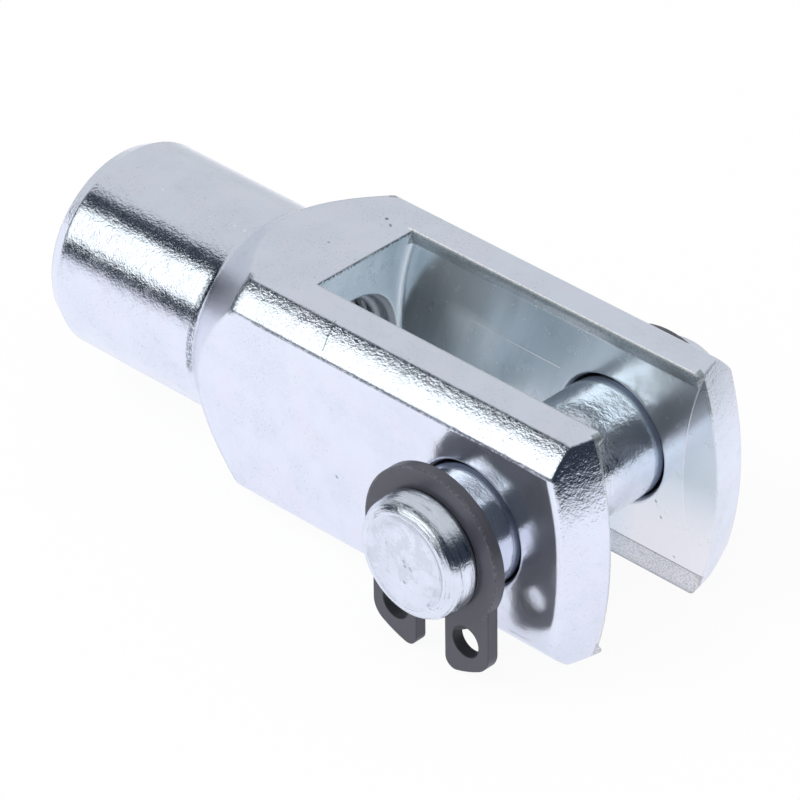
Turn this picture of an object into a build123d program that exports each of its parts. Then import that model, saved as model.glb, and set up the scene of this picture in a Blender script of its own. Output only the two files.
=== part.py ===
"""Fork-head clevis with its cross pin and two external retaining rings.

Frame, in millimetres: the origin is on the pin's axis, midway between the
ears.  +X runs along the rod axis towards the fork's mouth, Y is the pin's
axis, with the near ear on the -Y side, and +Z is up.  The body rests on its
lower flat, and the lugs of both rings hang clear above it.
"""
import os
from math import cos, radians, sin, sqrt, tan

from build123d import *

# ---------------------------------------------------------------- sizes, mm
# Fork body: a square bar with rounded-off corners, a turned shoulder and front.
SQUARE = 20.0             # across the flats
CORNER_SHARE = 1.272      # size across the rounded-off corners, as a share of SQUARE
CREASE_R = 0.7            # soft crease between each flat and corner
FRONT_APEX_X = 11.2       # foremost point of the domed front
FRONT_DOME_R = 29.0       # sphere of the domed front
FRONT_EDGE_R = 0.6        # rounded edge of the domed front

# Neck and shoulder
NECK_D = 17.5
NECK_END_X = -47.0        # end face of the neck
NECK_END_TAPER = 1.3      # length of the turned edge at the end face
NECK_END_TAPER_ANGLE = 26.0
SHOULDER_X = -24.75       # where the cone reaches the corners
SHOULDER_ANGLE = 34.5     # half angle of the shoulder's cone, degrees
SHOULDER_ROOT_R = 0.9     # hollow fillet between neck and cone

# Slot for the mating eye, open above, below and at the front
SLOT_WIDTH = 10.4         # between the lips along its upper and lower edges
SLOT_END_X = -22.3        # deepest point of the closed end
SLOT_END_R = 25.0         # the closed end is cut by a disc that turns about Y
RECESS_WIDTH = 11.4       # between the inner walls, behind the lips
RECESS_CORNER_R = 0.45    # corner between the closed end and each inner wall
LIP_FACE = 0.6            # height of each lip's flat face
LIP_SLOPE = 0.95          # height over which a lip runs back to the inner wall

# Lead-in ground on both inner walls at the mouth by a conical disc
LEAD_IN_R = 26.0          # disc radius where it leaves the wall
LEAD_IN_START_X = 7.3     # deepest reach of the lead-in on the wall
LEAD_IN_ANGLE = 4.0       # slope of the disc's flank, degrees
LEAD_IN_CORE_R = 18.0     # inner radius of the disc's working rim

# Hole for the rod's thread, drawn at the thread's outer diameter
THREAD_D = 10.0
THREAD_MOUTH_D = 10.7     # 45 degree countersink at both ends

# Cross pin, and its bore through both ears
PIN_D = 10.0
PIN_BORE_CLEARANCE = 0.1  # radial
BORE_MOUTH = 0.3          # radial width of the bore's broken edges
BORE_MOUTH_DEPTH = 0.6
PIN_SHIFT_Y = -1.0        # the pin lies pushed towards the near side
PIN_END_LAND = 2.5        # from the groove to the pin's end face
PIN_END_R = 1.3           # rounded rim of each end face, turned in narrow bands
PIN_END_BANDS = 4

# Retaining rings, both alike
RING_THICKNESS = 1.0
RING_PLAY = 4.2           # total axial travel of the pin, ring to ear
RING_OUTER_D = 13.3
RING_INNER_CLEARANCE = 0.05
RING_OUTER_CLEARANCE = 0.3    # the groove is wider than the ring
GROOVE_FLOOR_D = 9.6
RING_BORE_CLEARANCE = 0.05
RING_GAP = 3.0            # opening between the two lugs
LUG_SIDE_X = 5.9          # outer side of each lug
LUG_REACH_R = 10.15       # the lugs end on a circle about the pin's axis
LUG_TIP_R = 0.9           # corner beside the gap
LUG_CORNER_R = 1.8        # corner away from the gap
PLIER_HOLE_D = 2.6
PLIER_HOLE_X = 3.6
PLIER_HOLE_Z = -6.75

# ------------------------------------------------------------ derived sizes
HALF = SQUARE / 2
CORNER_R = CORNER_SHARE * HALF
NECK_R = NECK_D / 2
PIN_R = PIN_D / 2
BORE_R = PIN_R + PIN_BORE_CLEARANCE
SLOT_HALF = SLOT_WIDTH / 2
RECESS_HALF = RECESS_WIDTH / 2
GROOVE_R = GROOVE_FLOOR_D / 2
RING_BORE_R = GROOVE_R + RING_BORE_CLEARANCE
RING_OUTER_R = RING_OUTER_D / 2
RING_FACE_Y = (SQUARE + RING_PLAY) / 2       # ring's inner face, pin centred
GROOVE_INNER_Y = RING_FACE_Y - RING_INNER_CLEARANCE
GROOVE_OUTER_Y = RING_FACE_Y + RING_THICKNESS + RING_OUTER_CLEARANCE
PIN_END_Y = GROOVE_OUTER_Y + PIN_END_LAND    # end face, pin centred

ALONG_X = Plane.XZ        # sketches (x, radius), turned about X
CROSS = Plane.XZ          # sketches (x, z), extruded along Y


def fillet_at(sketch, point, radius):
    """Round the sketch's corner nearest to a point."""
    corner = sketch.vertices().sort_by_distance(point)[0]
    return fillet(corner, radius)


# --------------------------------------------------------------- fork body
def bar():
    """Square bar along X, with its corners rounded off and its creases softened."""
    section = Rectangle(SQUARE, SQUARE) & Circle(CORNER_R)
    section = fillet(section.vertices(), CREASE_R)
    return extrude(Plane.YZ * section, 2 * -NECK_END_X, both=True)


def turned_blank():
    """Neck, shoulder cone, clearance over the corners and domed front, turned about X."""
    slope = tan(radians(SHOULDER_ANGLE))
    blank_r = CORNER_R + 1
    root_x = SHOULDER_X - (CORNER_R - NECK_R) / slope
    top_x = SHOULDER_X + (blank_r - CORNER_R) / slope
    taper_rise = NECK_END_TAPER * tan(radians(NECK_END_TAPER_ANGLE))
    dome_centre_x = FRONT_APEX_X - FRONT_DOME_R
    front_x = dome_centre_x + sqrt(FRONT_DOME_R**2 - blank_r**2)
    mid_r = blank_r / 2
    mid_x = dome_centre_x + sqrt(FRONT_DOME_R**2 - mid_r**2)
    outline = Polyline(
        (FRONT_APEX_X, 0),
        (NECK_END_X, 0),
        (NECK_END_X, NECK_R - taper_rise),
        (NECK_END_X + NECK_END_TAPER, NECK_R),
        (root_x, NECK_R),
        (top_x, blank_r),
        (front_x, blank_r),
    )
    dome = ThreePointArc((front_x, blank_r), (mid_x, mid_r), (FRONT_APEX_X, 0))
    profile = make_face(outline + dome)
    profile = fillet_at(profile, (root_x, NECK_R), SHOULDER_ROOT_R)
    return revolve(ALONG_X * profile, Axis.X)


def slot_block(half_width):
    """Block through the fork, as long as the slot, with a closed end hollowed by a disc."""
    reach = FRONT_APEX_X + SQUARE
    sag_x = SLOT_END_X + SLOT_END_R - sqrt(SLOT_END_R**2 - SQUARE**2)
    outline = Polyline(
        (sag_x, -SQUARE),
        (reach, -SQUARE),
        (reach, SQUARE),
        (sag_x, SQUARE),
    )
    end = ThreePointArc((sag_x, SQUARE), (SLOT_END_X, 0), (sag_x, -SQUARE))
    return extrude(CROSS * make_face(outline + end), half_width, both=True)


def recess_cutter():
    """Space between the inner walls, which stand back behind the lips of the slot."""
    lip_z = HALF - LIP_FACE
    wall_z = lip_z - LIP_SLOPE
    section = make_face(Polyline(
        (0, lip_z),
        (SLOT_HALF, lip_z),
        (RECESS_HALF, wall_z),
        (RECESS_HALF, -wall_z),
        (SLOT_HALF, -lip_z),
        (0, -lip_z),
        close=True,
    ))
    section += mirror(section, Plane.YZ)
    block = slot_block(RECESS_HALF)
    corners = block.edges().filter_by(GeomType.CIRCLE)
    block = fillet(corners, RECESS_CORNER_R)
    return block & extrude(Plane.YZ * section, 2 * -NECK_END_X, both=True)


def lead_in_cutter():
    """Rim of the conical disc that eases both inner walls and the lips at the mouth."""
    rise = (LEAD_IN_R - LEAD_IN_CORE_R) * tan(radians(LEAD_IN_ANGLE))
    centre_x = LEAD_IN_START_X + LEAD_IN_R
    inner_x = centre_x - LEAD_IN_CORE_R
    rim = make_face(Polyline(
        (LEAD_IN_START_X, -RECESS_HALF),
        (inner_x, -RECESS_HALF - rise),
        (inner_x, RECESS_HALF + rise),
        (LEAD_IN_START_X, RECESS_HALF),
        close=True,
    ))
    return revolve(rim, Axis((centre_x, 0, 0), (0, 1, 0)))


def bore_cutter():
    """Cross bore, with broken edges at the inner wall and the outer face of both ears."""
    mouth_r = BORE_R + BORE_MOUTH
    outline = make_face(Polyline(
        (0, 0),
        (mouth_r, 0),
        (mouth_r, RECESS_HALF),
        (BORE_R, RECESS_HALF + BORE_MOUTH_DEPTH),
        (BORE_R, HALF - BORE_MOUTH_DEPTH),
        (mouth_r, HALF),
        (mouth_r, HALF + 1),
        (0, HALF + 1),
        close=True,
    ))
    half_bore = revolve(outline, Axis.Y)
    return half_bore + mirror(half_bore, Plane.XZ)


def thread_cutter():
    """Hole for the rod's thread, countersunk at both ends."""
    wall_r = THREAD_D / 2
    mouth_r = THREAD_MOUTH_D / 2
    sink = mouth_r - wall_r
    outline = make_face(Polyline(
        (NECK_END_X - 1, 0),
        (NECK_END_X - 1, mouth_r),
        (NECK_END_X, mouth_r),
        (NECK_END_X + sink, wall_r),
        (SLOT_END_X - sink, wall_r),
        (SLOT_END_X, mouth_r),
        (SLOT_END_X + 1, mouth_r),
        (SLOT_END_X + 1, 0),
        close=True,
    ))
    return revolve(ALONG_X * outline, Axis.X)


def fork_blank():
    """The solid fork head, its front edge rounded, before the slot and the holes are cut."""
    blank = bar() & turned_blank()
    front_edges = blank.edges().filter_by_position(Axis.X, 0, FRONT_APEX_X)
    return fillet(front_edges, FRONT_EDGE_R)


def clevis_body():
    """The one-piece fork head."""
    body = fork_blank()
    body -= slot_block(SLOT_HALF)
    body -= recess_cutter()
    body -= lead_in_cutter()
    body -= thread_cutter()
    body -= bore_cutter()
    return body


# --------------------------------------------------------------- cross pin
def rim_points():
    """Points of the pin's rounded rim, from its side round to its end face."""
    step = radians(90) / PIN_END_BANDS
    centre_r = PIN_R - PIN_END_R
    centre_y = PIN_END_Y - PIN_END_R
    angles = [step * band for band in range(PIN_END_BANDS + 1)]
    return [(centre_r + PIN_END_R * cos(a), centre_y + PIN_END_R * sin(a)) for a in angles]


def half_pin():
    """The pin from its middle plane to one end, turned about Y."""
    profile = make_face(Polyline(
        (0, 0),
        (PIN_R, 0),
        (PIN_R, GROOVE_INNER_Y),
        (GROOVE_R, GROOVE_INNER_Y),
        (GROOVE_R, GROOVE_OUTER_Y),
        (PIN_R, GROOVE_OUTER_Y),
        *rim_points(),
        (0, PIN_END_Y),
        close=True,
    ))
    return revolve(profile, Axis.Y)


def clevis_pin():
    """Straight pin with a ring groove and a rounded rim at each end."""
    half = half_pin()
    pin = half + mirror(half, Plane.XZ)
    return Pos(0, PIN_SHIFT_Y, 0) * pin


# --------------------------------------------------------- retaining rings
def lug():
    """One lug, on the +X side of the gap, from inside the ring down to its end."""
    gap_x = RING_GAP / 2
    root_z = -sqrt(RING_OUTER_R**2 - LUG_SIDE_X**2)
    tip_z = -sqrt(LUG_REACH_R**2 - gap_x**2)
    side_z = -sqrt(LUG_REACH_R**2 - LUG_SIDE_X**2)
    strip = make_face(Polyline(
        (gap_x, root_z),
        (gap_x, -LUG_REACH_R),
        (LUG_SIDE_X, -LUG_REACH_R),
        (LUG_SIDE_X, root_z),
        close=True,
    ))
    plate = strip & Circle(LUG_REACH_R)
    plate = fillet_at(plate, (gap_x, tip_z), LUG_TIP_R)
    plate = fillet_at(plate, (LUG_SIDE_X, side_z), LUG_CORNER_R)
    hole = Pos(PLIER_HOLE_X, PLIER_HOLE_Z) * Circle(PLIER_HOLE_D / 2)
    return plate - hole


def ring_outline():
    """Outline of a retaining ring whose gap and lugs point down."""
    lugs = lug() + mirror(lug(), Plane.YZ)
    gap = Pos(0, -RING_OUTER_R) * Rectangle(RING_GAP, 2 * RING_OUTER_R)
    return Circle(RING_OUTER_R) + lugs - gap - Circle(RING_BORE_R)


def retaining_ring(inner_face_y, side):
    """Ring whose inner face, towards the ears, lies at a given y."""
    centre_y = inner_face_y + side * RING_THICKNESS / 2
    ring = extrude(CROSS * ring_outline(), RING_THICKNESS / 2, both=True)
    return Pos(0, centre_y, 0) * ring


# ------------------------------------------------------------------ export
parts = {
    "clevis_body": clevis_body(),
    "clevis_pin": clevis_pin(),
    "ring_near": retaining_ring(PIN_SHIFT_Y - RING_FACE_Y, -1),
    "ring_far": retaining_ring(PIN_SHIFT_Y + RING_FACE_Y, 1),
}

os.makedirs("parts", exist_ok=True)
for name, shape in parts.items():
    shape.label = name
    export_step(shape, f"parts/{name}.step")
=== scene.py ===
"""Looks for a fork-head clevis with its cross pin and two retaining rings.

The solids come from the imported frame, in metres: the origin is on the pin's
axis, +X runs towards the fork's mouth, the near ear is on the -Y side and +Z
is up.  This script gives each solid its finish, winds the rod's thread inside
the neck's hole, and sets up the floor, the studio and the camera.

The classes hold their sizes in millimetres and the heights of their relief in
micrometres, unless they say otherwise.
"""

from __future__ import annotations

import logging
import math
from dataclasses import dataclass
from enum import Enum
from typing import Union

import bmesh
import bpy
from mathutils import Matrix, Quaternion, Vector


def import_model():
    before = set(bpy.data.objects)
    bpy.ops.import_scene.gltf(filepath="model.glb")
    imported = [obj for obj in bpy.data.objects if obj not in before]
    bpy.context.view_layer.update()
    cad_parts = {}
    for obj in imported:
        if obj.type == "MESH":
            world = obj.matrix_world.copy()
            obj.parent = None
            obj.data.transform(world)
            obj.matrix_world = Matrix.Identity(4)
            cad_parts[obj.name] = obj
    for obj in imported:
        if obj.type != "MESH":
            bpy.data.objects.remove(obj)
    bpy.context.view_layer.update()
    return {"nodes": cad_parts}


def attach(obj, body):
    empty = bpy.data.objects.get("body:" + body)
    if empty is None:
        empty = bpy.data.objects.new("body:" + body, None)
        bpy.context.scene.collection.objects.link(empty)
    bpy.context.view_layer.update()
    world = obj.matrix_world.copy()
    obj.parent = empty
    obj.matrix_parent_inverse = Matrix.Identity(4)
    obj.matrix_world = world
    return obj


log = logging.getLogger("clevis")

MM = 0.001
MICRON = 1e-6
MERGE_M = 1e-7
SHORTEST_RUN = 1e-6
BEVEL_SAMPLES = 6

# The places of a colour Mix node's sockets.
MIX_SHARE = 0
MIX_FIRST = 6
MIX_SECOND = 7
MIX_RESULT = 2

Triple = tuple[float, float, float]
Span = tuple[float, float]
WHITE: Triple = (1.0, 1.0, 1.0)


class Ray(Enum):
    """A kind of ray that the studio answers in its own way, by its output's name."""

    CAMERA = "Is Camera Ray"
    GLOSSY = "Is Glossy Ray"


# ------------------------------------------------------------ shader writing
class Wire:
    """One output of a node.  Arithmetic on it adds Math nodes, but none for + 0 or * 1."""

    def __init__(self, board: Board, socket: bpy.types.NodeSocket) -> None:
        """Keep the socket and the board that it is on.

        Args:
            board: The node tree's writer.
            socket: The output that this wire starts from.
        """
        self.board = board
        self.socket = socket

    def __add__(self, other: Value) -> Wire:
        """This plus other."""
        return self if other == 0.0 else self.board.math("ADD", self, other)

    __radd__ = __add__

    def __sub__(self, other: Value) -> Wire:
        """This minus other."""
        return self.board.math("SUBTRACT", self, other)

    def __rsub__(self, other: Value) -> Wire:
        """Other minus this."""
        return self.board.math("SUBTRACT", other, self)

    def __mul__(self, other: Value) -> Wire:
        """This times other."""
        return self if other == 1.0 else self.board.math("MULTIPLY", self, other)

    __rmul__ = __mul__

    def __truediv__(self, other: Value) -> Wire:
        """This over other."""
        return self.board.math("DIVIDE", self, other)

    def __rtruediv__(self, other: Value) -> Wire:
        """Other over this."""
        return self.board.math("DIVIDE", other, self)

    def __neg__(self) -> Wire:
        """This with its sign turned."""
        return self.board.math("MULTIPLY", self, -1.0)

    def __abs__(self) -> Wire:
        """This without its sign."""
        return self.board.math("ABSOLUTE", self)

    def rise(self, low: float, high: float) -> Wire:
        """Smooth step from 0 at low to 1 at high."""
        return self.board.step(self, low, high)

    def fall(self, low: float, high: float) -> Wire:
        """Smooth step from 1 at low to 0 at high."""
        return 1.0 - self.board.step(self, low, high)

    def window(self, low: float, high: float, edge: float) -> Wire:
        """1 between low and high, with soft edges of the given width."""
        half = edge / 2
        return self.rise(low - half, low + half) * self.fall(high - half, high + half)


Value = Union[Wire, float, int]


@dataclass(frozen=True)
class Noise:
    """A noise pattern: its waves to the unit, its finer octaves and their strength."""

    scale: float
    detail: float
    rough: float = 0.5


@dataclass(frozen=True)
class Step:
    """An ease of one measure: from 0 at its first bound to 1 at its second."""

    name: str
    zero: float
    one: float


Mask = tuple[Union[Step, str], ...]


class Term:
    """A weight times measures, noises or masks, by their names."""

    def __init__(self, weight: float, *names: str) -> None:
        """Keep the weight and the names."""
        self.weight = weight
        self.names = names


class Layer:
    """A colour laid over those before it, and the terms of its share."""

    def __init__(self, colour: Triple, *share: Term) -> None:
        """Keep the colour and the terms."""
        self.colour = colour
        self.share = share


@dataclass(frozen=True)
class Nick:
    """A dent, scratch or speck: a capsule between two points of the surface.

    Its depth is in micrometres, and negative into the metal.  Its shade is how much
    of its tint shows, and its core the part of its width that is at full strength.
    """

    start: Triple
    end: Triple
    width: float
    depth: float
    shade: float
    core: float = 0.35

    @property
    def run(self) -> Vector:
        """The way from its start to its end."""
        return Vector(self.end) - Vector(self.start)


class Board:
    """Writes the nodes of one finish, of the floor or of the world."""

    def __init__(self, tree: bpy.types.NodeTree) -> None:
        """Clear the tree and keep it.

        Args:
            tree: The node tree to write.
        """
        self.tree = tree
        tree.nodes.clear()

    def add(
        self,
        kind: str,
        settings: dict[str, object] | None = None,
        feeds: dict[int | str, object] | None = None,
    ) -> bpy.types.Node:
        """Add a node.

        Args:
            kind: The node's type name.
            settings: Its own settings, set before any socket.
            feeds: Values or wires for its inputs, by name or place.

        Returns:
            The new node.
        """
        node = self.tree.nodes.new(kind)
        for name, value in (settings or {}).items():
            setattr(node, name, value)
        for key, value in (feeds or {}).items():
            if isinstance(value, Wire):
                self.tree.links.new(value.socket, node.inputs[key])
            else:
                node.inputs[key].default_value = value
        return node

    def out(self, node: bpy.types.Node, key: int | str = 0) -> Wire:
        """An output of a node as a wire."""
        return Wire(self, node.outputs[key])

    def math(self, operation: str, *values: Value) -> Wire:
        """A Math node on one or two values."""
        settings = {"operation": operation}
        return self.out(self.add("ShaderNodeMath", settings, dict(enumerate(values))))

    def larger(self, first: Value, second: Value) -> Wire:
        """The larger of two values."""
        return self.math("MAXIMUM", first, second)

    def smaller(self, first: Value, second: Value) -> Wire:
        """The smaller of two values."""
        return self.math("MINIMUM", first, second)

    def vector(self, operation: str, *values: object) -> Wire:
        """A Vector Math node whose result is a vector."""
        settings = {"operation": operation}
        return self.out(self.add("ShaderNodeVectorMath", settings, dict(enumerate(values))))

    def measure(self, operation: str, *values: object) -> Wire:
        """A Vector Math node whose result is a number."""
        feeds = dict(enumerate(values))
        return self.out(self.add("ShaderNodeVectorMath", {"operation": operation}, feeds), "Value")

    def scaled(self, vector: Wire, factor: Value) -> Wire:
        """A vector times a number."""
        feeds = {0: vector, "Scale": factor}
        return self.out(self.add("ShaderNodeVectorMath", {"operation": "SCALE"}, feeds))

    def parts(self, vector: Wire) -> tuple[Wire, Wire, Wire]:
        """The three components of a vector."""
        node = self.add("ShaderNodeSeparateXYZ", None, {0: vector})
        return self.out(node, 0), self.out(node, 1), self.out(node, 2)

    def joined(self, x: Value, y: Value, z: Value) -> Wire:
        """A vector from three numbers."""
        return self.out(self.add("ShaderNodeCombineXYZ", None, {0: x, 1: y, 2: z}))

    def length(self, x: Value, y: Value, z: Value) -> Wire:
        """The length of the vector from three numbers."""
        return self.measure("LENGTH", self.joined(x, y, z))

    def step(self, value: Value, low: float, high: float) -> Wire:
        """Ease a value between two bounds.

        Args:
            value: The value.
            low: Where the step is 0.
            high: Where the step is 1.

        Returns:
            The smooth step.
        """
        feeds = {"Value": value, "From Min": low, "From Max": high}
        settings = {"interpolation_type": "SMOOTHSTEP", "clamp": True}
        return self.out(self.add("ShaderNodeMapRange", settings, feeds))

    def blend(self, share: Value, first: object, second: object) -> Wire:
        """Mix two colours.

        Args:
            share: The second colour's share.
            first: The first colour, as a wire or with its alpha.
            second: The second colour, as the first.

        Returns:
            The mixed colour.
        """
        settings = {"data_type": "RGBA", "clamp_factor": True}
        feeds = {MIX_SHARE: share, MIX_FIRST: first, MIX_SECOND: second}
        return self.out(self.add("ShaderNodeMix", settings, feeds), MIX_RESULT)

    def noise(self, place: Wire, pattern: Noise) -> Wire:
        """Noise between 0 and 1, mostly about a half.

        Args:
            place: Where it is read.
            pattern: Its scale and detail.

        Returns:
            The noise's value.
        """
        feeds = {
            "Vector": place,
            "Scale": pattern.scale,
            "Detail": pattern.detail,
            "Roughness": pattern.rough,
        }
        return self.out(self.add("ShaderNodeTexNoise", {"normalize": True}, feeds))

    def place_mm(self) -> Wire:
        """Where the shaded point is on the object, in millimetres."""
        return self.scaled(self.out(self.add("ShaderNodeTexCoord"), "Object"), 1 / MM)

    def towards(self) -> Wire:
        """The direction that a ray of the world looks in."""
        return self.out(self.add("ShaderNodeTexCoord"), "Generated")

    def is_ray(self, kind: Ray) -> Wire:
        """1 for rays of a kind, 0 for others."""
        return self.out(self.add("ShaderNodeLightPath"), kind.value)

    def capsule(self, place: Wire, nick: Nick) -> Wire:
        """Mask a nick.

        Args:
            place: The shaded point, in millimetres.
            nick: The nick.

        Returns:
            1 along the nick's core, easing to 0 at its width.
        """
        from_start = self.vector("SUBTRACT", place, nick.start)
        to_share = 1 / max(nick.run.length_squared, SHORTEST_RUN)
        settings = {"operation": "MULTIPLY", "use_clamp": True}
        feeds = {0: self.measure("DOT_PRODUCT", from_start, tuple(nick.run)), 1: to_share}
        share = self.out(self.add("ShaderNodeMath", settings, feeds))
        nearest = self.scaled(self.joined(*nick.run), share)
        gap = self.measure("DISTANCE", from_start, nearest)
        return gap.fall(nick.width * nick.core, nick.width)

    def nicked(self, place: Wire, nicks: tuple[Nick, ...]) -> tuple[Value, Value]:
        """Lay out a group of nicks.

        Args:
            place: The shaded point, in millimetres.
            nicks: The nicks.

        Returns:
            The height that they add, in micrometres, and the mask that tints them.
        """
        height: Value = 0.0
        mask: Value = 0.0
        for nick in nicks:
            capsule = self.capsule(place, nick)
            height = capsule * nick.depth + height
            mask = capsule * nick.shade + mask
        return height, mask

    def eased(self, radius_mm: float) -> Wire:
        """The surface's normal, turned gradually across edges as if they were rounded."""
        node = self.add("ShaderNodeBevel", {"samples": BEVEL_SAMPLES}, {"Radius": radius_mm * MM})
        return self.out(node)

    def relief(self, height_um: Wire, normal: Wire) -> Wire:
        """A normal from a height in micrometres over another normal."""
        feeds = {"Strength": 1.0, "Distance": MICRON, "Height": height_um, "Normal": normal}
        return self.out(self.add("ShaderNodeBump", None, feeds))

    def close(self, shader: bpy.types.Node, output: str) -> None:
        """Wire a shader to the tree's output of the given type."""
        self.add(output, None, {"Surface": self.out(shader)})


def rgb(colour: Triple) -> tuple[float, float, float, float]:
    """A colour with full alpha, as sockets take it."""
    return (*colour, 1.0)


def new_material(name: str) -> tuple[bpy.types.Material, Board]:
    """Make a material.

    Args:
        name: The material's name.

    Returns:
        The material, and the board that writes it.
    """
    material = bpy.data.materials.new(name)
    material.use_nodes = True
    return material, Board(material.node_tree)


def dress(node: bpy.types.Object, material: bpy.types.Material) -> None:
    """Put a material on every slot of an object.

    Args:
        node: The object.
        material: The material.
    """
    if not node.material_slots:
        node.data.materials.append(material)
    for slot in node.material_slots:
        slot.material = material


def make_object(name: str, mesh: bmesh.types.BMesh, smooth: bool) -> bpy.types.Object:
    """Turn a bmesh into an object of the scene.

    Args:
        name: The object's name.
        mesh: The finished bmesh, which is freed.
        smooth: Whether its faces are shaded smooth.

    Returns:
        The new object, at the origin.
    """
    data = bpy.data.meshes.new(name)
    for face in mesh.faces:
        face.smooth = smooth
    mesh.to_mesh(data)
    mesh.free()
    made = bpy.data.objects.new(name, data)
    bpy.context.scene.collection.objects.link(made)
    return made


# ------------------------------------------------------------------ finishes
class Areas:
    """The measures, noises and masks of a finish, each written when first asked for.

    The tables say how the plain noises and masks are made: a mask is the product
    of its steps and of the masks that it names.  The methods make the others.
    """

    noises: dict[str, Noise] = {}
    masks: dict[str, Mask] = {}
    pin_middle_y: float = -1.0

    def __init__(self, board: Board) -> None:
        """Start from the shaded point.

        Args:
            board: The finish's board.
        """
        self.board = board
        self.place = board.place_mm()
        self.made: dict[str, Value] = dict(zip("xyz", board.parts(self.place)))

    def __getitem__(self, name: str) -> Value:
        """Look up a measure, a noise or a mask.

        Args:
            name: Its name.

        Returns:
            Its wire, the same one each time.
        """
        if name not in self.made:
            if name in self.noises:
                self.made[name] = self.board.noise(self.place, self.noises[name])
            elif name in self.masks:
                self.made[name] = self.product(self.masks[name])
            else:
                self.made[name] = getattr(self, name)()
        return self.made[name]

    def product(self, mask: Mask) -> Value:
        """Multiply a mask's factors.

        Args:
            mask: The steps, and the names of other masks.

        Returns:
            The product.
        """
        factors: list[Value] = []
        for factor in mask:
            if isinstance(factor, str):
                factors.append(self[factor])
            elif factor.zero < factor.one:
                factors.append(self.board.step(self[factor.name], factor.zero, factor.one))
            else:
                factors.append(1.0 - self.board.step(self[factor.name], factor.one, factor.zero))
        return math.prod(factors[1:], start=factors[0])

    def total(self, terms: tuple[Term, ...]) -> Value:
        """Add up terms.

        Args:
            terms: The terms.

        Returns:
            The sum, as a number where no term names anything.
        """
        total: Value = 0.0
        for term in terms:
            total = math.prod((self[name] for name in term.names), start=term.weight) + total
        return total

    def from_pin(self) -> Wire:
        """How far the point is from the pin's axis."""
        return self.board.length(self["x"], 0.0, self["z"])

    def depth(self) -> Value:
        """How far it is from the pin's middle, along the pin."""
        return abs(self["y"] - self.pin_middle_y)


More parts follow.
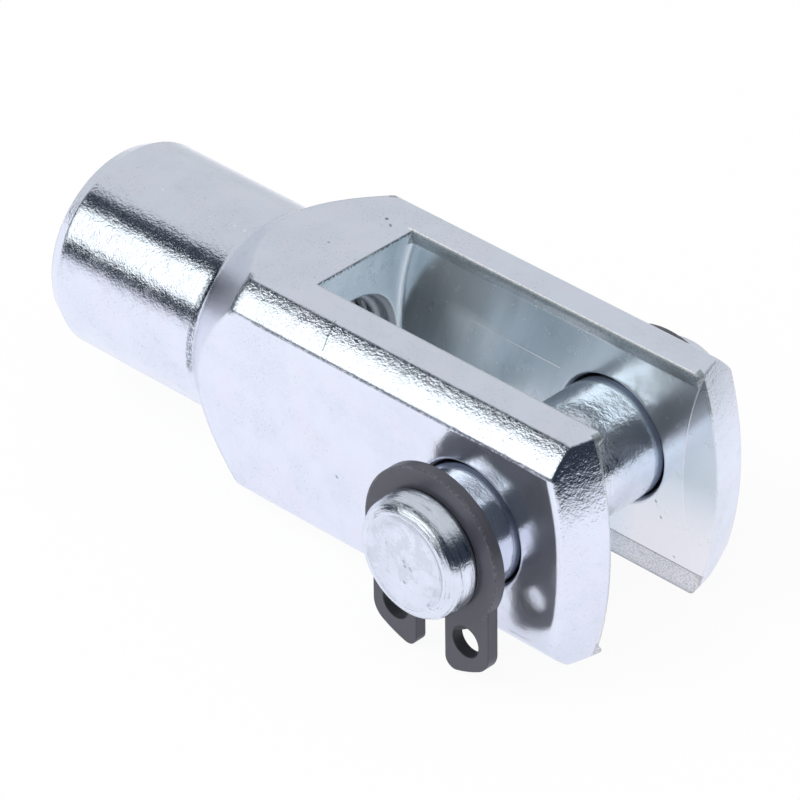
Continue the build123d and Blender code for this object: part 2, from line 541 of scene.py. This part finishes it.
class ForkAreas(Areas):
    """The fork's areas."""

    noises: dict[str, Noise] = {
        "cloud": Noise(0.33, 4.0, 0.6),
        "patch": Noise(1.1, 3.0, 0.6),
        "grain": Noise(4.8, 2.0, 0.6),
        "speckle": Noise(8.5, 1.0),
        "swell": Noise(1.0, 1.0),
        "pit": Noise(5.5, 2.0, 0.7),
        "warmth": Noise(0.24, 3.0, 0.6),
    }
    masks: dict[str, Mask] = {
        # The cross bore, painted near-black as shade, with the skin about its mouths, darkened a
        # little as painted shade, the tapped hole, the outer flats.
        "bore": (Step("from_pin", 5.20, 5.12),),
        "mouth": (Step("from_pin", 5.42, 5.30),),
        "hole": (Step("from_rod", 5.42, 5.30),),
        "flank": (Step("side", 9.90, 9.95),),
        # The slot, its sloping lips, a ragged dark line along its closed end's top edge,
        # and painted highlights along the far wall's top edge and on the seams where the
        # walls turn into their lead-ins.
        "slot": (Step("side", 6.02, 5.95), Step("x", -22.75, -22.6), Step("level", 9.99, 9.93)),
        "lips": ("slot", Step("level", 8.38, 8.46), Step("side", 5.14, 5.19)),
        "upper_lips": ("lips", Step("z", 8.3, 8.4)),
        "lower_lips": ("lips", Step("z", -8.38, -8.46)),
        "ragged_dark_line": (
            "slot",
            Step("frayed", 9.68, 9.76),
            Step("x", -19.9, -20.1),
            Step("side", 5.18, 5.10),
        ),
        "rim": (
            Step("y", 5.07, 5.13),
            Step("y", 5.35, 5.29),
            Step("z", 9.70, 9.85),
            Step("x", -20.9, -20.5),
            Step("speckle", 0.38, 0.48),
        ),
        "seam": ("slot", Step("seam_gap", 0.10, 0.03)),
        # The turned faces.
        "dome": (Step("from_dome", 28.8, 28.95),),
        "facet": (Step("from_rod", 12.47, 12.62),),
        "neck": (
            Step("from_rod", 8.65, 8.72),
            Step("from_rod", 9.0, 8.85),
            Step("x", -25.5, -26.0),
        ),
        "cone": (Step("cone_gap", 0.2, 0.08), Step("from_rod", 8.8, 9.1)),
        # The plate's mottle, rubbed patches, pits, the stretch where they are darker, and
        # warmer clouds.
        "cloudy": (Step("cloud", 0.30, 0.70),),
        "speckled": (Step("speckle", 0.50, 0.72),),
        "scuffs": (Step("patch", 0.54, 0.70), Step("cloud", 0.40, 0.62)),
        "pits": ("outside", Step("pit", 0.60, 0.70), Step("cloud", 0.40, 0.55)),
        "pitted": (Step("x", -28.0, -22.0), Step("x", -11.0, -17.0)),
        "blush": ("outside", Step("warmth", 0.46, 0.64)),
        # The lips' mottle, and broken dark lines of painted shade: along the flats' top edges,
        # where the corners meet the shoulder, and where the neck does.
        "flecks": ("upper_lips", Step("speckle", 0.50, 0.60)),
        "sill": ("lower_lips", Step("speckle", 0.46, 0.60)),
        "edge_line": (
            Step("grain", 0.30, 0.62),
            Step("side", 9.80, 9.90),
            Step("z", 7.66, 7.74),
            Step("z", 7.96, 7.88),
            Step("x", -22.6, -22.2),
        ),
        "corner_line": (
            Step("grain", 0.30, 0.62),
            Step("from_rod", 12.40, 12.55),
            Step("cone_gap", 0.45, 0.10),
            Step("z", -0.5, 0.5),
        ),
        "neck_line": (
            Step("grain", 0.30, 0.62),
            Step("x", -31.35, -31.05),
            Step("x", -30.35, -30.65),
            Step("from_rod", 9.4, 9.2),
            Step("y", -4.8, -6.0),
            Step("z", -1.5, -0.5),
        ),
        # On the slot's walls: the mill's streaks, tinted darker teal towards the closed end as
        # painted shade, and a film inwards; a milkier patch short of the closed end; and by the
        # mouth a paler lower part and a darker band that ends on the lead-in, both painted
        # reflections.
        "streaks": ("slot", Step("strokes", 0.40, 0.66), Step("x", 1.0, -9.0)),
        "hollow": ("slot", Step("x", -7.0, -10.0)),
        "bright": ("slot", Step("x", -18.0, -15.0), Step("x", -10.5, -14.0), Step("z", 5.5, 3.5)),
        # Painted reflection: the walls by the mouth paler towards the bottom.
        "pale": ("slot", Step("z", 0.0, -6.0), Step("x", 0.0, 3.0)),
        # Painted dark reflection: a band across the far wall by the mouth, ending on the lead-in.
        "painted_dark_band": ("slot", Step("x", 3.5, 5.5), Step("gloom_height", -5.8, -4.4)),
        "throat": ("painted_dark_band", Step("from_lead", 26.0, 25.9)),
    }
    dome_centre: Triple = (-17.8, 0.0, 0.0)
    dome_gain: float = 1.9
    corner_r: float = 12.72
    cone_x: float = -24.75
    cone_slope: float = 0.687
    lead_x: float = 33.3
    lead_r: float = 26.0
    ragged_reach: float = 1.9
    gloom_slope: float = 1.2
    turning_along: float = 4.5
    turning_round: float = 0.25
    stroke_x: tuple[float, float] = (0.62, 0.03)
    stroke_y: float = 0.5
    stroke_z: tuple[float, float] = (-0.22, 0.08)
    stroke_noise: Noise = Noise(1.0, 3.0, 0.45)
    turning_noise: Noise = Noise(1.0, 3.0, 0.6)

    def side(self) -> Value:
        """How far the point is from the plane between the ears."""
        return abs(self["y"])

    def level(self) -> Value:
        """How far it is above or below the pin's axis."""
        return abs(self["z"])

    def from_rod(self) -> Wire:
        """How far it is from the rod's axis."""
        return self.board.length(0.0, self["y"], self["z"])

    def from_dome(self) -> Wire:
        """How far it is from the centre of the front's dome."""
        return self.board.measure("DISTANCE", self.place, self.dome_centre)

    def from_lead(self) -> Wire:
        """How far it is from the lead-in's axis."""
        return self.board.length(self["x"] - self.lead_x, 0.0, self["z"])

    def seam_gap(self) -> Value:
        """How far it is from the line where a wall turns into its lead-in."""
        return abs(self["from_lead"] - self.lead_r)

    def cone_gap(self) -> Value:
        """How far it is from the shoulder's cone, across the rod's axis."""
        cone = (self["x"] - self.cone_x) * self.cone_slope + self.corner_r
        return abs(self["from_rod"] - cone)

    def frayed(self) -> Value:
        """How high it is, raised and lowered by the grain."""
        return self["z"] + (self["grain"] - 0.5) * self.ragged_reach

    def gloom_height(self) -> Value:
        """How high it is over a plane that rises towards the mouth."""
        return self["z"] - self["x"] * self.gloom_slope

    def outside(self) -> Value:
        """Mask all but the slot."""
        return 1.0 - self["slot"]

    def stippled(self) -> Wire:
        """Mask the turned faces with a rougher grain: the dome above all."""
        turned = self.board.larger(self["facet"], self["neck"])
        return self.board.larger(self["dome"] * self.dome_gain, turned)

    def strokes(self) -> Wire:
        """Draw noise along the mill's steep strokes on the slot's walls.

        Returns:
            The noise.
        """
        x, y, z = self["x"], self["y"] * self.stroke_y, self["z"]
        across = x * self.stroke_x[0] + z * self.stroke_z[0]
        along = x * self.stroke_x[1] + z * self.stroke_z[1]
        return self.board.noise(self.board.joined(across, y, along), self.stroke_noise)

    def turning(self) -> Wire:
        """Draw noise in rings about the rod's axis, as the lathe leaves them.

        Returns:
            The noise.
        """
        along = self["x"] * self.turning_along
        around = (self["y"] * self.turning_round, self["z"] * self.turning_round)
        return self.board.noise(self.board.joined(along, *around), self.turning_noise)


class PinAreas(Areas):
    """The pin's areas."""

    noises: dict[str, Noise] = {
        "cloud": Noise(0.5, 4.0, 0.6),
        "patch": Noise(1.3, 3.0, 0.6),
        "grain": Noise(4.6, 2.0, 0.6),
        "speckle": Noise(8.5, 1.0),
        "smear": Noise(0.8, 5.0, 0.7),
    }
    masks: dict[str, Mask] = {
        # The ends past the rings, their rounded rims, their faces, and the length
        # between the ears.
        "end": (Step("depth", 13.3, 13.4),),
        "rim": ("end", Step("from_pin", 2.9, 3.9)),
        "flat": (Step("depth", 15.84, 15.89),),
        "middle": (Step("depth", 6.4, 6.0),),
        # The plate's mottle and grain, tarnish, dark streaks and grey smudges.
        "cloudy": (Step("cloud", 0.3, 0.7),),
        "grainy": (Step("patch", 0.30, 0.60),),
        "tarnish": ("middle", Step("grain", 0.56, 0.70), Step("cloud", 0.42, 0.58)),
        "streaks": ("rim", Step("turning", 0.57, 0.66), Step("smear", 0.40, 0.55)),
        "smudges": ("flat", Step("smear", 0.48, 0.58)),
    }
    taper_from: float = 13.4
    taper_to: float = 14.6
    crown_r: float = 2.9
    turning_across: float = 3.6
    turning_round: float = 0.30
    turning_waver: float = 0.5
    turning_noise: Noise = Noise(1.0, 3.0, 0.65)

    def taper(self) -> Wire:
        """How far the point is along the ends' slight taper."""
        return self.board.larger(self.board.smaller(self["depth"], self.taper_to), self.taper_from)

    def crown(self) -> Value:
        """How far it is past the end faces' flat middle."""
        return self.board.larger(self["from_pin"], self.crown_r) - self.crown_r

    def turning(self) -> Wire:
        """Draw noise in rings on the ends, wavering slightly.

        Returns:
            The noise.
        """
        across = (self["depth"] - self["from_pin"]) * self.turning_across
        waver = self["x"] * self.turning_round + self["cloud"] * self.turning_waver
        rings = self.board.joined(across, waver, self["z"] * self.turning_round)
        return self.board.noise(rings, self.turning_noise)


class RingAreas(Areas):
    """A retaining ring's areas."""

    noises: dict[str, Noise] = {
        "cloud": Noise(0.6, 3.0, 0.6),
        "grain": Noise(4.5, 3.0, 0.6),
    }
    masks: dict[str, Mask] = {
        # The holes in the lugs, with painted near-black shade on their walls, the worn outer
        # edge, the scratches with those that are worn pale, and flecks.
        "hole": (Step("from_hole", 1.42, 1.32),),
        "brink": (
            Step("depth", 12.86, 12.98),
            Step("from_pin", 6.45, 6.55),
            Step("from_pin", 6.79, 6.69),
            Step("z", -4.5, -3.0),
            Step("grain", 0.46, 0.62),
        ),
        "scratch": (Step("scratch_gap", 0.006, 0.0),),
        "worn_scratch": ("scratch", Step("cloud", 0.5, 0.6)),
        "flecks": (Step("grain", 0.62, 0.75),),
    }
    hole_x: float = 3.6
    hole_z: float = -6.75
    scratch_stretch: Triple = (0.5, 0.5, 1.3)
    scratch_noise: Noise = Noise(0.9, 1.0)

    def from_hole(self) -> Wire:
        """How far the point is from the nearer lug hole's axis."""
        across = abs(self["x"]) - self.hole_x
        return self.board.length(across, 0.0, self["z"] - self.hole_z)

    def scratch_gap(self) -> Value:
        """How far a slow noise is from its middle, which it crosses along thin lines."""
        stretched = self.board.vector("MULTIPLY", self.place, self.scratch_stretch)
        return abs(self.board.noise(stretched, self.scratch_noise) - 0.5)


@dataclass(frozen=True)
class Finish:
    """A finish, as tables of what each area adds to it.

    The base colour lies below the layers, which come from the first to the last.
    The relief is in micrometres, and eased_r is the radius over which the shading
    rounds an edge.  The nicks are tinted by the layer that names "marks", and the
    glints by the one that names "shines".
    """

    name: str
    areas: type[Areas]
    base: Triple
    layers: tuple[Layer, ...]
    roughness: tuple[Term, ...]
    metal: tuple[Term, ...]
    relief_um: tuple[Term, ...]
    eased_r: float
    nicks: tuple[Nick, ...] = ()
    glints: tuple[Nick, ...] = ()
    ior: float | None = None

    def material(self) -> bpy.types.Material:
        """Write the finish.

        Returns:
            The material.
        """
        material, board = new_material(self.name)
        at = self.areas(board)
        nick_um, at.made["marks"] = board.nicked(at.place, self.nicks)
        glint_um, at.made["painted_glints"] = board.nicked(at.place, self.glints)
        height_um = at.total(self.relief_um) + nick_um + glint_um
        colour: object = rgb(self.base)
        for layer in self.layers:
            colour = board.blend(at.total(layer.share), colour, rgb(layer.colour))
        feeds = {
            "Base Color": colour,
            "Metallic": at.total(self.metal),
            "Roughness": at.total(self.roughness),
            "Normal": board.relief(height_um, board.eased(self.eased_r)),
        }
        if self.ior is not None:
            feeds["IOR"] = self.ior
        shader = board.add("ShaderNodeBsdfPrincipled", None, feeds)
        board.close(shader, "ShaderNodeOutputMaterial")
        return material


# Bright zinc plate of the fork: grainy outside, milled in the slot, dull in its holes, with
# painted near-black shade in the cross bore.
FORK_ZINC = Finish(
    name="zinc_fork",
    areas=ForkAreas,
    base=(0.83, 0.87, 0.965),
    layers=(
        Layer(
            (0.75, 0.785, 0.88),
            Term(0.5, "cloudy"),
            Term(0.35, "scuffs"),
            Term(0.30, "speckled"),
        ),
        Layer((0.85, 0.84, 0.945), Term(0.55, "blush")),
        Layer((0.865, 0.94, 0.99), Term(0.9, "slot")),
        # The mill's streaks, with a darker teal tint that grows towards the closed end as painted
        # shade.
        Layer((0.55, 0.66, 0.69), Term(0.40, "streaks")),
        # Painted reflection: the slot's walls by the mouth paler towards the bottom.
        Layer((1.0, 0.98, 1.0), Term(0.8, "pale")),
        # Painted dark reflection: the band across the far wall by the mouth, and its end on the
        # lead-in.
        Layer((0.33, 0.34, 0.35), Term(0.46, "painted_dark_band"), Term(0.30, "throat")),
        Layer((0.36, 0.36, 0.40), Term(0.34, "pits"), Term(0.35, "pits", "pitted")),
        Layer((0.10, 0.11, 0.13), Term(1.0, "marks")),
        # Painted highlights: the glints' scratches and specks painted white.
        Layer(WHITE, Term(1.0, "painted_glints")),
        # Painted highlights: white along the far wall's top edge and on the lead-in seams.
        Layer(WHITE, Term(0.8, "seam"), Term(0.9, "rim")),
        # Painted dark reflection: the upper lips darker than the wall, mottled by the grain.
        Layer((0.26, 0.31, 0.34), Term(0.35, "upper_lips"), Term(0.5, "upper_lips", "grain")),
        Layer((0.36, 0.38, 0.44), Term(0.4, "sill")),
        # Painted shade: broken dark lines in the creases of the flats, the shoulder's corners and
        # the neck's root.
        Layer(
            (0.13, 0.15, 0.19),
            Term(0.75, "edge_line"),
            Term(0.75, "corner_line"),
            Term(0.8, "neck_line"),
        ),
        Layer((0.08, 0.09, 0.10), Term(0.45, "flecks")),
        # A ragged dark line along the top edge of the slot's closed end.
        Layer((0.08, 0.09, 0.10), Term(0.85, "ragged_dark_line")),
        # Painted shade: the skin about the bore's mouths darkened a little.
        Layer((0.30, 0.33, 0.37), Term(0.2, "mouth")),
        Layer((0.55, 0.58, 0.62), Term(1.0, "hole")),
        # Painted shade: the cross bore near-black.
        Layer((0.045, 0.05, 0.058), Term(0.93, "bore")),
    ),
    roughness=(
        Term(0.11),
        Term(0.06, "patch"),
        Term(0.08, "scuffs"),
        Term(0.09, "slot"),
        Term(0.14, "lips"),
        Term(0.16, "cone"),
        Term(0.25, "mouth"),
        Term(0.25, "hole"),
        Term(0.35, "bore"),
    ),
    metal=(
        Term(1.0),
        Term(-0.07, "flank"),
        Term(-0.14, "slot"),
        Term(-0.10, "hollow"),
        Term(-0.36, "bright"),
        Term(-0.12, "lips"),
        Term(-0.5, "rim"),
        Term(-0.55, "hole"),
    ),
    relief_um=(
        Term(5.5, "grain", "outside"),
        Term(8.5, "grain", "stippled"),
        Term(1.0, "grain"),
        Term(3.0, "speckle", "outside"),
        Term(2.0, "speckle", "stippled"),
        Term(9.0, "speckle", "lips"),
        Term(9.0, "swell", "outside"),
        Term(1.5, "swell"),
        Term(22.0, "patch", "stippled"),
        Term(14.0, "strokes", "slot"),
        Term(7.0, "turning", "cone"),
        Term(-2.5, "pits"),
        Term(8.0, "seam"),
        Term(340.0, "lower_lips", "z"),
    ),
    eased_r=0.34,
    nicks=(
        Nick((-15.68, -7.76, 10.08), (-15.56, -8.75, 9.23), 0.11, -12.0, 0.40),
        Nick((-15.56, -8.75, 9.23), (-15.36, -9.57, 8.37), 0.09, -8.0, 0.30),
        Nick((-22.85, 5.03, 10.0), (-22.79, 4.99, 10.0), 0.20, -10.0, 0.75),
        Nick((-22.05, 4.60, 10.0), (-21.85, 4.45, 10.0), 0.15, -8.0, 0.6),
        Nick((-23.76, -0.42, 10.0), (-23.70, -0.42, 10.0), 0.14, -8.0, 0.5),
        Nick((-13.74, -10.0, -2.15), (-13.66, -10.0, -2.22), 0.16, -8.0, 0.5),
        Nick((4.58, 5.7, -3.64), (4.63, 5.7, -3.70), 0.16, -8.0, 0.5),
        Nick((5.11, 5.7, -4.87), (5.15, 5.7, -4.95), 0.14, -8.0, 0.45),
        Nick((6.48, 5.8, -7.87), (6.55, 5.8, -7.92), 0.18, -8.0, 0.5),
    ),
    # Bright scratches and specks, painted white as highlights.
    glints=(
        Nick((-14.57, 5.7, 4.06), (-5.29, 5.7, 3.94), 0.09, 10.0, 0.9),
        Nick((-17.16, 5.7, 1.84), (-17.10, 5.7, 1.78), 0.22, 5.0, 0.7),
        Nick((-40.27, -2.14, 8.48), (-40.20, -2.14, 8.48), 0.14, 8.0, 0.8),
        Nick((-32.40, -2.04, 8.51), (-32.30, -2.04, 8.51), 0.14, 8.0, 0.8),
        Nick((-31.32, -2.02, 8.51), (-31.20, -2.02, 8.51), 0.15, 8.0, 0.8),
        Nick((-34.80, -2.35, 8.43), (-34.75, -2.35, 8.43), 0.10, 8.0, 0.6),
    ),
)

# Bright zinc plate of the pin, with the lathe's rings on its ends.
PIN_ZINC = Finish(
    name="zinc_pin",
    areas=PinAreas,
    base=(0.82, 0.86, 0.95),
    layers=(
        Layer((0.72, 0.76, 0.84), Term(0.6, "cloudy")),
        Layer((0.50, 0.48, 0.42), Term(0.35, "tarnish")),
        Layer((0.16, 0.18, 0.21), Term(0.6, "streaks")),
        Layer((0.60, 0.64, 0.70), Term(0.5, "smudges")),
        Layer((0.12, 0.13, 0.15), Term(1.0, "marks")),
    ),
    roughness=(Term(0.10), Term(0.08, "cloud"), Term(0.14, "flat"), Term(0.04, "rim")),
    metal=(Term(1.0),),
    relief_um=(
        Term(8.0, "grain", "grainy"),
        Term(8.0, "grain", "grainy", "middle"),
        Term(2.0, "grain"),
        Term(3.0, "speckle"),
        Term(26.0, "patch", "middle"),
        Term(42.0, "turning", "rim"),
        Term(2.0, "turning", "flat"),
        Term(16.0, "smear", "end"),
        Term(24.0, "smear", "rim"),
        Term(-130.0, "crown", "crown", "flat"),
        Term(-230.0, "taper"),
    ),
    eased_r=0.30,
    nicks=(
        Nick((0.02, -16.9, 0.30), (0.10, -16.9, 0.22), 0.15, -8.0, 0.40),
        Nick((0.12, -16.9, -0.12), (0.20, -16.9, -0.12), 0.16, -8.0, 0.45),
        Nick((0.62, -16.9, -0.05), (0.78, -16.9, -0.22), 0.13, -8.0, 0.40),
        Nick((0.05, -16.9, -1.60), (0.12, -16.9, -1.62), 0.16, -8.0, 0.45),
        Nick((2.42, -16.9, -2.62), (2.60, -16.9, -2.42), 0.15, -8.0, 0.30),
        Nick((2.62, -16.9, -2.78), (2.75, -16.9, -2.72), 0.13, -8.0, 0.30),
        Nick((-1.75, -16.9, 1.10), (-1.70, -16.9, 1.02), 0.12, -6.0, 0.28),
    ),
)

# Oiled dark phosphate of the sprung retaining rings.
RING_PHOSPHATE = Finish(
    name="phosphate_ring",
    areas=RingAreas,
    base=(0.048, 0.049, 0.066),
    layers=(
        Layer(
            (0.12, 0.12, 0.145),
            Term(0.9, "brink"),
            Term(0.5, "worn_scratch"),
            Term(0.25, "flecks"),
            Term(0.2, "cloud"),
        ),
        # Painted shade: the lug holes' walls near-black.
        Layer((0.012, 0.012, 0.014), Term(0.75, "hole")),
    ),
    roughness=(Term(0.30), Term(0.15, "grain"), Term(0.2, "hole")),
    metal=(Term(0.0),),
    relief_um=(Term(3.0, "grain"), Term(4.0, "cloud"), Term(-1.5, "scratch")),
    eased_r=0.18,
    ior=1.6,
)


# -------------------------------------------------------------- sub-assemblies
@dataclass(frozen=True)
class Fork:
    """The fork head: its solid, and the rod's thread inside the neck."""

    node: str = "clevis_body"
    body: str = "fork"
    thread_name: str = "rod_thread"
    root_r: float = 5.03
    crest_r: float = 4.36
    root_half: float = 0.56
    crest_half: float = 0.10
    pitch: float = 1.25
    from_x: float = -46.5
    to_x: float = -22.9
    steps_a_turn: int = 40

    def thread(self) -> bpy.types.Object:
        """Wind the inside thread about X as one ridge.

        Returns:
            The thread's object, at the origin.
        """
        mesh = bmesh.new()
        start = self.from_x + self.root_half
        section = (
            (start - self.root_half, self.root_r),
            (start - self.crest_half, self.crest_r),
            (start + self.crest_half, self.crest_r),
            (start + self.root_half, self.root_r),
        )
        profile = mesh.faces.new([mesh.verts.new((x * MM, 0.0, r * MM)) for x, r in section])
        turns = (self.to_x - self.from_x - 2 * self.root_half) / self.pitch
        bmesh.ops.spin(
            mesh,
            geom=[profile, *profile.edges, *profile.verts],
            cent=(0.0, 0.0, 0.0),
            axis=(1.0, 0.0, 0.0),
            dvec=(self.pitch * MM / self.steps_a_turn, 0.0, 0.0),
            angle=math.tau * turns,
            steps=round(turns * self.steps_a_turn),
            use_merge=False,
            use_duplicate=False,
        )
        bmesh.ops.remove_doubles(mesh, verts=mesh.verts, dist=MERGE_M)
        bmesh.ops.recalc_face_normals(mesh, faces=mesh.faces)
        return make_object(self.thread_name, mesh, smooth=True)

    def dress(self, nodes: dict[str, bpy.types.Object]) -> None:
        """Give the fork and its thread their finish.

        Args:
            nodes: The frame's nodes by name.
        """
        material = FORK_ZINC.material()
        dress(nodes[self.node], material)
        thread = self.thread()
        dress(thread, material)
        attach(thread, self.body)
        log.info("%s dressed, %s has %d faces", self.node, thread.name, len(thread.data.polygons))


@dataclass(frozen=True)
class Pin:
    """The cross pin."""

    node: str = "clevis_pin"

    def dress(self, nodes: dict[str, bpy.types.Object]) -> None:
        """Give the pin its finish.

        Args:
            nodes: The frame's nodes by name.
        """
        dress(nodes[self.node], PIN_ZINC.material())
        log.info("%s dressed", self.node)


@dataclass(frozen=True)
class Rings:
    """The two retaining rings."""

    nodes: tuple[str, ...] = ("ring_near", "ring_far")

    def dress(self, nodes: dict[str, bpy.types.Object]) -> None:
        """Give both rings their finish.

        Args:
            nodes: The frame's nodes by name.
        """
        material = RING_PHOSPHATE.material()
        for name in self.nodes:
            dress(nodes[name], material)
            log.info("%s dressed", name)


# -------------------------------------------------------------------- studio
@dataclass(frozen=True)
class Studio:
    """A pale sweep under a broad window of soft light, with dark flags beside it.

    Its lengths are in metres, except for the bounds of the floor's tones, which
    are in millimetres.
    """

    window: Triple = (1.42, 1.48, 1.44)
    flag: Triple = (0.026, 0.036, 0.052)
    backdrop: Triple = (0.665, 0.69, 0.705)
    ambient: float = 0.80
    window_rise: Span = (15.0, 51.8)
    window_rise_soft: float = 2.5
    window_x: Span = (-0.70, 0.36)
    window_x_soft: float = 0.10
    top_rise: Span = (70.5, 75.0)
    top_x: Span = (0.55, 0.85)

    floor_z: float = -0.010
    floor_reach: float = 3.0
    paper: Triple = (0.93, 0.93, 0.93)
    paper_near: Triple = (0.96, 0.97, 1.03)
    paper_away: Triple = (0.36, 0.38, 0.42)
    near_mm: float = 75.0
    behind_mm: Span = (25.0, 70.0)
    beside_mm: Span = (55.0, 92.0)
    glow_to_metal: float = 0.8
    glow_to_camera: float = 0.93

    lamp_size: tuple[float, float] = (0.55, 0.40)
    lamp_watts: float = 1.9
    lamp_place: Triple = (-0.30, -0.36, 0.50)

    camera_place: Triple = (0.256559, -0.277984, 0.261468)
    camera_aim: Triple = (-0.581181, 0.591168, -0.559240)
    camera_tilt: float = -0.766
    sensor_mm: float = 36.0
    lens_mm: float = 275.76
    clip: Span = (0.01, 20.0)

    def build(self) -> None:
        """Set up the light, the floor and the camera."""
        bpy.context.scene.view_settings.view_transform = "Standard"
        self._world()
        self._floor()
        self._lamp()
        self._camera()
        log.info("studio built")

    def _world(self) -> None:
        """Write the surroundings: white to the camera, a studio to metal, even to the rest."""
        world = bpy.data.worlds.new("studio")
        world.use_nodes = True
        bpy.context.scene.world = world
        board = Board(world.node_tree)
        x, y, z = board.parts(board.towards())
        rise = board.math("ARCTAN2", z, -y) * math.degrees(1.0)

        window = rise.window(*self.window_rise, self.window_rise_soft)
        window = window * x.window(*self.window_x, self.window_x_soft)
        beyond = rise.rise(*self.top_rise) * x.fall(*self.top_x)
        colour = board.blend(beyond, rgb(self.flag), rgb(self.backdrop))
        colour = board.blend(window, colour, rgb(self.window))
        level = rgb((self.ambient, self.ambient, self.ambient))
        colour = board.blend(board.is_ray(Ray.GLOSSY), level, colour)
        colour = board.blend(board.is_ray(Ray.CAMERA), colour, rgb(WHITE))
        shader = board.add("ShaderNodeBackground", None, {"Color": colour, "Strength": 1.0})
        board.close(shader, "ShaderNodeOutputWorld")

    def _floor(self) -> None:
        """Lay the paper: nearly white to the camera, and to metal as its tones say."""
        mesh = bmesh.new()
        bmesh.ops.create_grid(mesh, x_segments=1, y_segments=1, size=self.floor_reach)
        bmesh.ops.translate(mesh, verts=mesh.verts, vec=(0.0, 0.0, self.floor_z))
        floor = make_object("floor", mesh, smooth=False)
        material, board = new_material("paper")
        x, y, _ = board.parts(board.place_mm())

        away = 1.0 - self.near_mm / board.larger(-y, self.near_mm)
        seen = board.blend(away, rgb(self.paper_near), rgb(self.paper_away))
        seen = board.blend(y.rise(*self.behind_mm), seen, rgb(self.backdrop))
        seen = board.blend(x.rise(*self.beside_mm), seen, rgb(self.flag))

        paper = self._paper(board, rgb(self.paper))
        matt, glow = self._paper(board, seen), self._glow(board, seen)
        to_metal = self._mixed(board, self.glow_to_metal, matt, glow)
        to_camera = self._mixed(board, self.glow_to_camera, paper, self._glow(board, rgb(WHITE)))
        shader = self._mixed(board, board.is_ray(Ray.GLOSSY), paper, to_metal)
        shader = self._mixed(board, board.is_ray(Ray.CAMERA), shader, to_camera)
        board.close(shader, "ShaderNodeOutputMaterial")
        dress(floor, material)

    def _paper(self, board: Board, colour: object) -> bpy.types.Node:
        """A matt shader of a colour."""
        return board.add("ShaderNodeBsdfDiffuse", None, {"Color": colour})

    def _glow(self, board: Board, colour: object) -> bpy.types.Node:
        """A shader that gives off a colour."""
        return board.add("ShaderNodeEmission", None, {"Color": colour, "Strength": 1.0})

    def _mixed(
        self, board: Board, share: Value, first: bpy.types.Node, second: bpy.types.Node
    ) -> bpy.types.Node:
        """Two shaders mixed, by the second one's share."""
        feeds = {0: share, 1: board.out(first), 2: board.out(second)}
        return board.add("ShaderNodeMixShader", None, feeds)

    def _lamp(self) -> None:
        """Hang one broad lamp high on the fork's left, for the floor's soft shadow."""
        data = bpy.data.lights.new("window_lamp", "AREA")
        data.shape = "RECTANGLE"
        data.size, data.size_y = self.lamp_size
        data.energy = self.lamp_watts
        lamp = bpy.data.objects.new("window_lamp", data)
        lamp.location = self.lamp_place
        lamp.rotation_mode = "QUATERNION"
        lamp.rotation_quaternion = (-Vector(self.lamp_place)).to_track_quat("-Z", "Y")
        lamp.visible_glossy = False
        bpy.context.scene.collection.objects.link(lamp)

    def _camera(self) -> None:
        """Set up the camera."""
        data = bpy.data.cameras.new("camera")
        data.sensor_width = self.sensor_mm
        data.lens = self.lens_mm
        data.clip_start, data.clip_end = self.clip
        camera = bpy.data.objects.new("camera", data)
        camera.location = self.camera_place
        camera.rotation_mode = "QUATERNION"
        tilt = Quaternion((0.0, 0.0, 1.0), math.radians(self.camera_tilt))
        camera.rotation_quaternion = Vector(self.camera_aim).to_track_quat("-Z", "Y") @ tilt
        bpy.context.scene.collection.objects.link(camera)
        bpy.context.scene.camera = camera


def main() -> None:
    """Load the frame, dress it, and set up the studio."""
    logging.basicConfig(level=logging.INFO, format="%(name)s: %(message)s")
    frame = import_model()
    Fork().dress(frame["nodes"])
    Pin().dress(frame["nodes"])
    Rings().dress(frame["nodes"])
    Studio().build()


if __name__ == "__main__":
    main()
